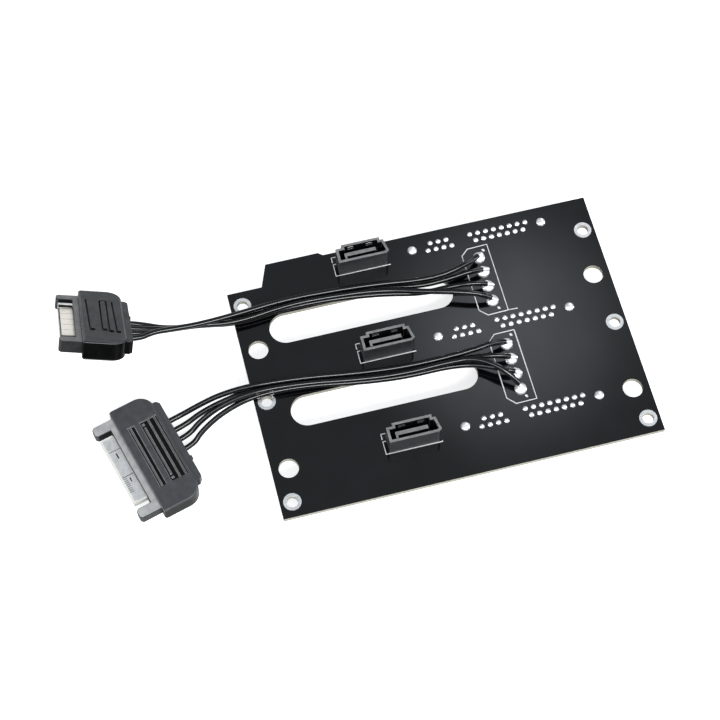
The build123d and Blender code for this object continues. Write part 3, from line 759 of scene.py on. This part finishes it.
# %% Board places
CONTACT_PITCH = 1.27
FIRST_ROW = 15.40
ROW_PITCH = 24 * CONTACT_PITCH
ROW_LINES = [FIRST_ROW + bay * ROW_PITCH for bay in range(3)]
board_low, board_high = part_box("circuit_board")
BOARD_TOP = board_high.z
BOARD_THICKNESS = board_high.z - board_low.z


def on_board(x, y, z=0.0):
    """A place on the board's top, from its front left corner, given in millimetres."""
    return Vector((board_low.x + x * MM, board_low.y + y * MM, BOARD_TOP + z * MM))


# %% Finish each face of the data headers
HEADER_CENTRE = 42.05
HEADER_TOP = 7.7
SOCKET_HALF = 6.2 * MM
SOCKET_FRONT = -2.1 * MM
SOCKET_BACK = 1.25 * MM
RIM_DEPTH = 1.0 * MM
for bay, line in enumerate(ROW_LINES, start=1):
    rim = on_board(HEADER_CENTRE, line, HEADER_TOP)

    def header_finish(centre, normal, is_round):
        """A painted highlight on the rims' tops, and painted deep shade inside the socket and on the walls
        that look in.
        """
        place = centre - rim
        if is_round:
            return None
        if normal.z > FACING and place.z > -RIM_DEPTH:
            return "painted_rim_highlight"
        looks_in = normal.x * place.x + normal.y * place.y < 0
        in_socket = abs(place.x) < SOCKET_HALF and SOCKET_FRONT < place.y < SOCKET_BACK
        return "painted_deep_shade" if looks_in or in_socket else None

    finish_faces(bpy.data.objects[f"data_header_{bay}"], ("painted_rim_highlight", "painted_deep_shade"), header_finish)
print("header faces have their finishes")

# %% [markdown]
# White legend lines are printed on the mask: two angles round each data header, a box with cut
# corners round each pigtail's pads, and a few small marks of short bars. Ink is a skin a few
# hundredths thick, so each line is a thin curve, made a mesh and pressed flat on the board.

# %% Lines of the legend
HEADER_LEFT = 33.8
ANGLE_RIGHT = 51.0
ANGLE_FRONT = -2.95
ANGLE_BACK = 1.15
ANGLE_TICK = 34.7
HOOK_FRONT = 1.8
HOOK_BACK = 3.6
HOOK_TICK = 35.2
PAD_BOX_A = [(84.6, 49.3), (81.65, 49.4), (81.5, 72.9), (75.2, 72.7),
             (73.0, 70.7), (73.0, 51.4), (75.3, 49.2), (81.65, 49.4)]
PAD_BOX_B = [(81.45, 42.55), (81.65, 18.95), (75.3, 18.85), (73.0, 21.2),
             (73.0, 40.4), (75.2, 42.45), (81.45, 42.55)]
MARK_PLACES = ((79.9, 71.15), (79.1, 50.8), (80.07, 41.14), (78.93, 20.48))
BAR_SHIFTS = (-0.2, 0.0, 0.2)
BAR_LEAN = 0.15
BAR_REACH = 0.4
legend_lines = []
for line in ROW_LINES:
    front, back = line + ANGLE_FRONT, line + ANGLE_BACK
    legend_lines.append([(ANGLE_RIGHT, front), (HEADER_LEFT, front), (HEADER_LEFT, back), (ANGLE_TICK, back)])
    front, back = line + HOOK_FRONT, line + HOOK_BACK
    legend_lines.append([(HEADER_LEFT, front), (HEADER_LEFT, back), (HOOK_TICK, back)])
legend_lines += [PAD_BOX_A, PAD_BOX_B]
for x, y in MARK_PLACES:
    for shift in BAR_SHIFTS:
        legend_lines.append([(x - BAR_LEAN + shift, y + BAR_REACH), (x + BAR_LEAN + shift, y - BAR_REACH)])

# %% Print the legend
INK_WIDTH = 0.36 * MM
INK_HEIGHT = 0.03 * MM
ink = bpy.data.curves.new("board_legend", "CURVE")
ink.dimensions = "3D"
ink.bevel_depth = INK_WIDTH / 2
ink.bevel_resolution = 1
ink.use_fill_caps = True
for line in legend_lines:
    spline = ink.splines.new("POLY")
    spline.points.add(len(line) - 1)
    for control, (x, y) in zip(spline.points, line):
        control.co = (*on_board(x, y), 1)
legend = bpy.data.objects.new("board_legend", ink)
bpy.context.scene.collection.objects.link(legend)
make_active(legend)
bpy.ops.object.convert(target="MESH")
bpy.ops.object.mode_set(mode="EDIT")
bpy.ops.mesh.select_all(action="SELECT")
bpy.ops.transform.resize(value=(1, 1, INK_HEIGHT / INK_WIDTH), center_override=on_board(0, 0))
bpy.ops.object.mode_set(mode="OBJECT")
legend.data.materials.append(finishes["legend_ink"])
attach(legend, "root")
print("legend vertices:", len(legend.data.vertices))

# %% [markdown]
# A soldered tail stands in a small concave cone of solder, with its tip just showing. The cone is a
# filled circle, extruded upwards in steps that get narrower. It is modelled once for each size, and
# copied to every tail with its own mesh.

# %% Raise a solder joint
MOUND_SMOOTH_ANGLE = radians(40)


def stepped_mound(name, radius, steps, sides):
    """A mound from a filled circle at the origin, extruded in steps.

    A step is how high it ends, in millimetres, and its share of the first radius.
    """
    deselect()
    bpy.ops.mesh.primitive_circle_add(vertices=sides, radius=radius, fill_type="NGON", location=(0, 0, 0))
    mound = bpy.context.active_object
    mound.name = name
    bpy.ops.object.mode_set(mode="EDIT")
    bpy.ops.mesh.select_mode(type="FACE")
    bpy.ops.mesh.select_all(action="SELECT")
    share, height = 1.0, 0.0
    for step_height, next_share in steps:
        rise = step_height * MM
        bpy.ops.mesh.extrude_region_move(TRANSFORM_OT_translate={"value": (0, 0, rise - height)})
        shrink = next_share / share
        bpy.ops.transform.resize(value=(shrink, shrink, 1), center_override=(0, 0, rise))
        share, height = next_share, rise
    bpy.ops.mesh.select_all(action="SELECT")
    bpy.ops.mesh.normals_make_consistent(inside=False)
    bpy.ops.object.mode_set(mode="OBJECT")
    bpy.ops.object.shade_smooth_by_angle(angle=MOUND_SMOOTH_ANGLE)
    return mound


def copies_at(pattern, name, places, stretch=(1, 1, 1)):
    """One piece made of copies of a pattern, and the pattern removed."""
    copies = []
    for place in places:
        copy = bpy.data.objects.new(name, pattern.data.copy())
        copy.data.transform(Matrix.Translation(place) @ Matrix.Diagonal((*stretch, 1)))
        bpy.context.scene.collection.objects.link(copy)
        copies.append(copy)
    bpy.data.objects.remove(pattern)
    make_active(copies[0])
    for copy in copies:
        copy.select_set(True)
    bpy.ops.object.join()
    return bpy.context.view_layer.objects.active


# %% Solder on the receptacle tails
SIGNAL_COUNT = 7
POWER_COUNT = 15
GAP_PITCHES = 5
TAIL_OFFSET = 1.2
RECEPTACLE_CENTRE = 79.25
HOLD_DOWN_SPAN = 41.3
TAIL_RADIUS = 0.80 * MM
TAIL_SIDES = 14
TAIL_STEPS = ((0.10, 0.97), (0.22, 0.80), (0.38, 0.62), (0.52, 0.48), (0.62, 0.34), (0.66, 0.15))
HOLD_RADIUS = 1.45 * MM
HOLD_SIDES = 20
HOLD_STEPS = ((0.15, 0.98), (0.40, 0.88), (0.62, 0.70), (0.78, 0.45), (0.85, 0.18))
signal_span = (SIGNAL_COUNT - 1) * CONTACT_PITCH
power_span = (POWER_COUNT - 1) * CONTACT_PITCH
segment_gap = GAP_PITCHES * CONTACT_PITCH
first_tail = RECEPTACLE_CENTRE - (signal_span + segment_gap + power_span) / 2
tails = [first_tail + i * CONTACT_PITCH for i in range(SIGNAL_COUNT)]
tails += [first_tail + signal_span + segment_gap + i * CONTACT_PITCH for i in range(POWER_COUNT)]
for bay, line in enumerate(ROW_LINES, start=1):
    spots = []
    for i, x in enumerate(tails):
        offset = -TAIL_OFFSET if i % 2 == 0 else TAIL_OFFSET
        spots.append(on_board(x, line + offset))
    ends = [on_board(RECEPTACLE_CENTRE + side * HOLD_DOWN_SPAN / 2, line) for side in (-1, 1)]
    tail_joint = stepped_mound("tail_joint", TAIL_RADIUS, TAIL_STEPS, TAIL_SIDES)
    small = copies_at(tail_joint, f"tail_joints_{bay}", spots)
    hold_joint = stepped_mound("hold_joint", HOLD_RADIUS, HOLD_STEPS, HOLD_SIDES)
    large = copies_at(hold_joint, f"hold_down_joints_{bay}", ends)
    for piece in (small, large):
        piece.data.materials.clear()
        piece.data.materials.append(finishes["solder"])
        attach(piece, "root")
    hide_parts(f"receptacle_solder_{bay}")
print("tail joints per row:", len(tails))

# %% [markdown]
# At each pigtail pad the end of the wire lies in one large, glossy drop of solder. The drop is a
# stepped mound, the wire's tinned core is a thin cylinder that enters it, and a remesh flows the two
# together. A second, flatter mound under the board is the same joint's foot.

# %% Solder at the pigtail pads
PAD_SIDES = 24
PAD_RADIUS = 1.9 * MM
PAD_STEPS = ((0.20, 1.03), (0.55, 1.00), (0.95, 0.88), (1.28, 0.66), (1.50, 0.36))
FOOT_RADIUS = 1.4 * MM
FOOT_STEPS = ((0.15, 0.95), (0.35, 0.72), (0.50, 0.40))
CORE_RADIUS = 0.62 * MM
CORE_LENGTH = 2.6 * MM
CORE_IN_WIRE = 0.15 * MM
PAD_X = 77.8
PAD_PITCH = 5.08
PAD_COUNT = 4
PAD_MIDDLES = {"b": 30.64, "a": 61.12}
VOXEL_SIZE = 0.12 * MM
SOFTENING_PASSES = 14


def tinned_core(end, towards):
    """A rod that runs on from a wire's end, away from the point that it comes from."""
    deselect()
    run = (end - towards).normalized()
    bpy.ops.mesh.primitive_cylinder_add(vertices=16, radius=CORE_RADIUS, depth=CORE_LENGTH,
                                        location=(0, 0, 0))
    rod = bpy.context.active_object
    place = Matrix.Translation(end + run * (CORE_LENGTH * 0.5 - CORE_IN_WIRE))
    rod.data.transform(place @ run.to_track_quat("Z", "Y").to_matrix().to_4x4())
    return rod


for letter, middle in PAD_MIDDLES.items():
    half = (PAD_COUNT - 1) / 2
    pads = [on_board(PAD_X, middle + (i - half) * PAD_PITCH) for i in range(PAD_COUNT)]
    feet = [pad - Vector((0, 0, BOARD_THICKNESS)) for pad in pads]
    drop = stepped_mound("pad_drop", PAD_RADIUS, PAD_STEPS, PAD_SIDES)
    drops = copies_at(drop, "pad_drops", pads)
    foot = stepped_mound("pad_foot", FOOT_RADIUS, FOOT_STEPS, PAD_SIDES)
    undersides = copies_at(foot, "pad_feet", feet, stretch=(1, 1, -1))
    rods = []
    for number in range(1, PAD_COUNT + 1):
        before, end = (Vector(point) * MM for point in wire_routes[f"{letter}_{number}"][-2:])
        rods.append(tinned_core(end, before))
    make_active(drops)
    for piece in [*rods, undersides]:
        piece.select_set(True)
    bpy.ops.object.join()
    joint = bpy.context.view_layer.objects.active
    joint.name = f"pigtail_joints_{letter}"
    bpy.ops.object.mode_set(mode="EDIT")
    bpy.ops.mesh.select_all(action="SELECT")
    bpy.ops.mesh.normals_make_consistent(inside=False)
    bpy.ops.object.mode_set(mode="OBJECT")
    remesh = joint.modifiers.new("flow_together", "REMESH")
    remesh.mode = "VOXEL"
    remesh.voxel_size = VOXEL_SIZE
    remesh.use_smooth_shade = True
    bpy.ops.object.modifier_apply(modifier=remesh.name)
    soften = joint.modifiers.new("surface_tension", "SMOOTH")
    soften.factor = 0.5
    soften.iterations = SOFTENING_PASSES
    bpy.ops.object.modifier_apply(modifier=soften.name)
    joint.data.materials.clear()
    joint.data.materials.append(finishes["solder"])
    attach(joint, "root")
    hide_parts(f"pigtail_solder_{letter}")
    print("pigtail joints", letter, "faces", len(joint.data.polygons))

# %% [markdown]
# The board stands on a plain white table. The table glows a little: to the camera, so that it shows
# as white while shadows still fall on it, and a quarter as much to mirror-like surfaces, so that the
# sides of the black wires stay black.

# %% Table
TABLE_SIZE = 6
TABLE_GREY = 0.86
TABLE_ROUGHNESS = 0.9
TABLE_GLOW = 0.76
MIRRORED_SHARE = 0.25
bpy.ops.mesh.primitive_plane_add(size=TABLE_SIZE, location=(0, 0, 0))
table = bpy.context.active_object
table.name = "studio_table"
table_finish = bpy.data.materials.new("white_table")
table_finish.use_nodes = True
tree = table_finish.node_tree
shader = tree.nodes["Principled BSDF"]
shader.inputs["Base Color"].default_value = (*grey(TABLE_GREY), 1)
shader.inputs["Roughness"].default_value = TABLE_ROUGHNESS
shader.inputs["Specular IOR Level"].default_value = 0.0
glow = tree.nodes.new("ShaderNodeEmission")
glow.inputs["Color"].default_value = (1, 1, 1, 1)
rays = tree.nodes.new("ShaderNodeLightPath")
seen = add_math(tree, "MULTIPLY_ADD", MIRRORED_SHARE)
tree.links.new(rays.outputs["Is Glossy Ray"], seen.inputs[0])
tree.links.new(rays.outputs["Is Camera Ray"], seen.inputs[2])
lift = add_math(tree, "MULTIPLY", TABLE_GLOW)
tree.links.new(seen.outputs[0], lift.inputs[0])
tree.links.new(lift.outputs[0], glow.inputs["Strength"])
sum_shader = tree.nodes.new("ShaderNodeAddShader")
tree.links.new(shader.outputs[0], sum_shader.inputs[0])
tree.links.new(glow.outputs[0], sum_shader.inputs[1])
tree.links.new(sum_shader.outputs[0], tree.nodes["Material Output"].inputs["Surface"])
table.data.materials.append(table_finish)

# %% [markdown]
# The world is a dome that gets lighter overhead, and it holds two more lights. A round glow hangs
# where the flat board mirrors it for the camera, and gives the black mask its soft light patch. A
# long strip runs over the table, the same way as the wires, and draws the thin light line along
# each of them. Only mirror-like surfaces see the strip. The camera itself sees plain white.

# %% World
# The dome gets lighter between two heights, from 0 at the horizon to 1 overhead. GLOW_RADIUS is in
# degrees, and the half width of the strip is a sine.
DOME_LOW = 0.35
DOME_HIGH = 0.85
HORIZON_LEVEL = 0.32
OVERHEAD_LEVEL = 0.54
GLOW_AXIS = (0.184, 0.413, 0.892)
GLOW_RADIUS = 4.4
GLOW_FALLOFF = 1.7
GLOW_STRENGTH = 1.9
STRIP_AXIS = (0.0, 0.83, 0.56)
STRIP_HALF_WIDTH = 0.14
STRIP_STRENGTH = 15.0
COOL = (0.88, 0.94, 1.0)
WHITE = (1, 1, 1)
world = bpy.data.worlds.new("studio_world")
world.use_nodes = True
bpy.context.scene.world = world
tree = world.node_tree
background = tree.nodes["Background"]
direction = tree.nodes.new("ShaderNodeTexCoord")
rays = tree.nodes.new("ShaderNodeLightPath")


def looking_along(axis):
    """How much a ray's direction agrees with an axis, as the output of a dot product."""
    product = tree.nodes.new("ShaderNodeVectorMath")
    product.operation = "DOT_PRODUCT"
    product.inputs[1].default_value = axis
    tree.links.new(direction.outputs["Generated"], product.inputs[0])
    return product.outputs["Value"]


dome = add_range(tree, DOME_LOW, DOME_HIGH)
dome.inputs["To Min"].default_value = HORIZON_LEVEL
dome.inputs["To Max"].default_value = OVERHEAD_LEVEL
tree.links.new(looking_along((0, 0, 1)), dome.inputs["Value"])

glow_shape = add_range(tree, cos(radians(GLOW_RADIUS)), 1.0, "SMOOTHSTEP")
tree.links.new(looking_along(Vector(GLOW_AXIS).normalized()), glow_shape.inputs["Value"])
falloff = add_math(tree, "POWER", GLOW_FALLOFF)
tree.links.new(glow_shape.outputs["Result"], falloff.inputs[0])
sky = add_math(tree, "MULTIPLY_ADD", GLOW_STRENGTH)
tree.links.new(falloff.outputs[0], sky.inputs[0])
tree.links.new(dome.outputs["Result"], sky.inputs[2])

off_strip = add_math(tree, "ABSOLUTE")
tree.links.new(looking_along(STRIP_AXIS), off_strip.inputs[0])
strip_shape = add_range(tree, STRIP_HALF_WIDTH, 0.0, "SMOOTHSTEP")
strip_shape.inputs["To Max"].default_value = STRIP_STRENGTH
tree.links.new(off_strip.outputs[0], strip_shape.inputs["Value"])
strip = add_math(tree, "MULTIPLY_ADD")
tree.links.new(strip_shape.outputs["Result"], strip.inputs[0])
tree.links.new(rays.outputs["Is Glossy Ray"], strip.inputs[1])
tree.links.new(sky.outputs[0], strip.inputs[2])

level = tree.nodes.new("ShaderNodeMix")
level.inputs["B"].default_value = 1.0
tree.links.new(rays.outputs["Is Camera Ray"], level.inputs["Factor"])
tree.links.new(strip.outputs[0], level.inputs["A"])
tree.links.new(level.outputs["Result"], background.inputs["Strength"])
tint = add_colour_mix(tree, COOL, WHITE)
tree.links.new(rays.outputs["Is Camera Ray"], tint.inputs["Factor"])
tree.links.new(tint.outputs["Result"], background.inputs["Color"])
bpy.context.scene.view_settings.view_transform = "Standard"

# %% [markdown]
# Two soft boxes light it: a long one in front and above, which lights the plugs' faces and the walls
# that look forward, and a weak one behind at the right, which lifts the far walls a little.

# %% Lights
def soft_box(name, place, size, power):
    """A rectangular area light that points from its place to the middle of the table."""
    data = bpy.data.lights.new(name, "AREA")
    data.shape = "RECTANGLE"
    data.size, data.size_y = size
    data.energy = power
    lamp = bpy.data.objects.new(name, data)
    lamp.location = place
    lamp.rotation_euler = (-Vector(place)).to_track_quat("-Z", "Y").to_euler()
    bpy.context.scene.collection.objects.link(lamp)


soft_box("main_soft_box", place=(0.15, -0.95, 1.25), size=(1.1, 0.30), power=20)
soft_box("rear_soft_box", place=(0.9, 1.1, 0.9), size=(0.6, 0.6), power=5)
print("lights:", len(bpy.data.lights))
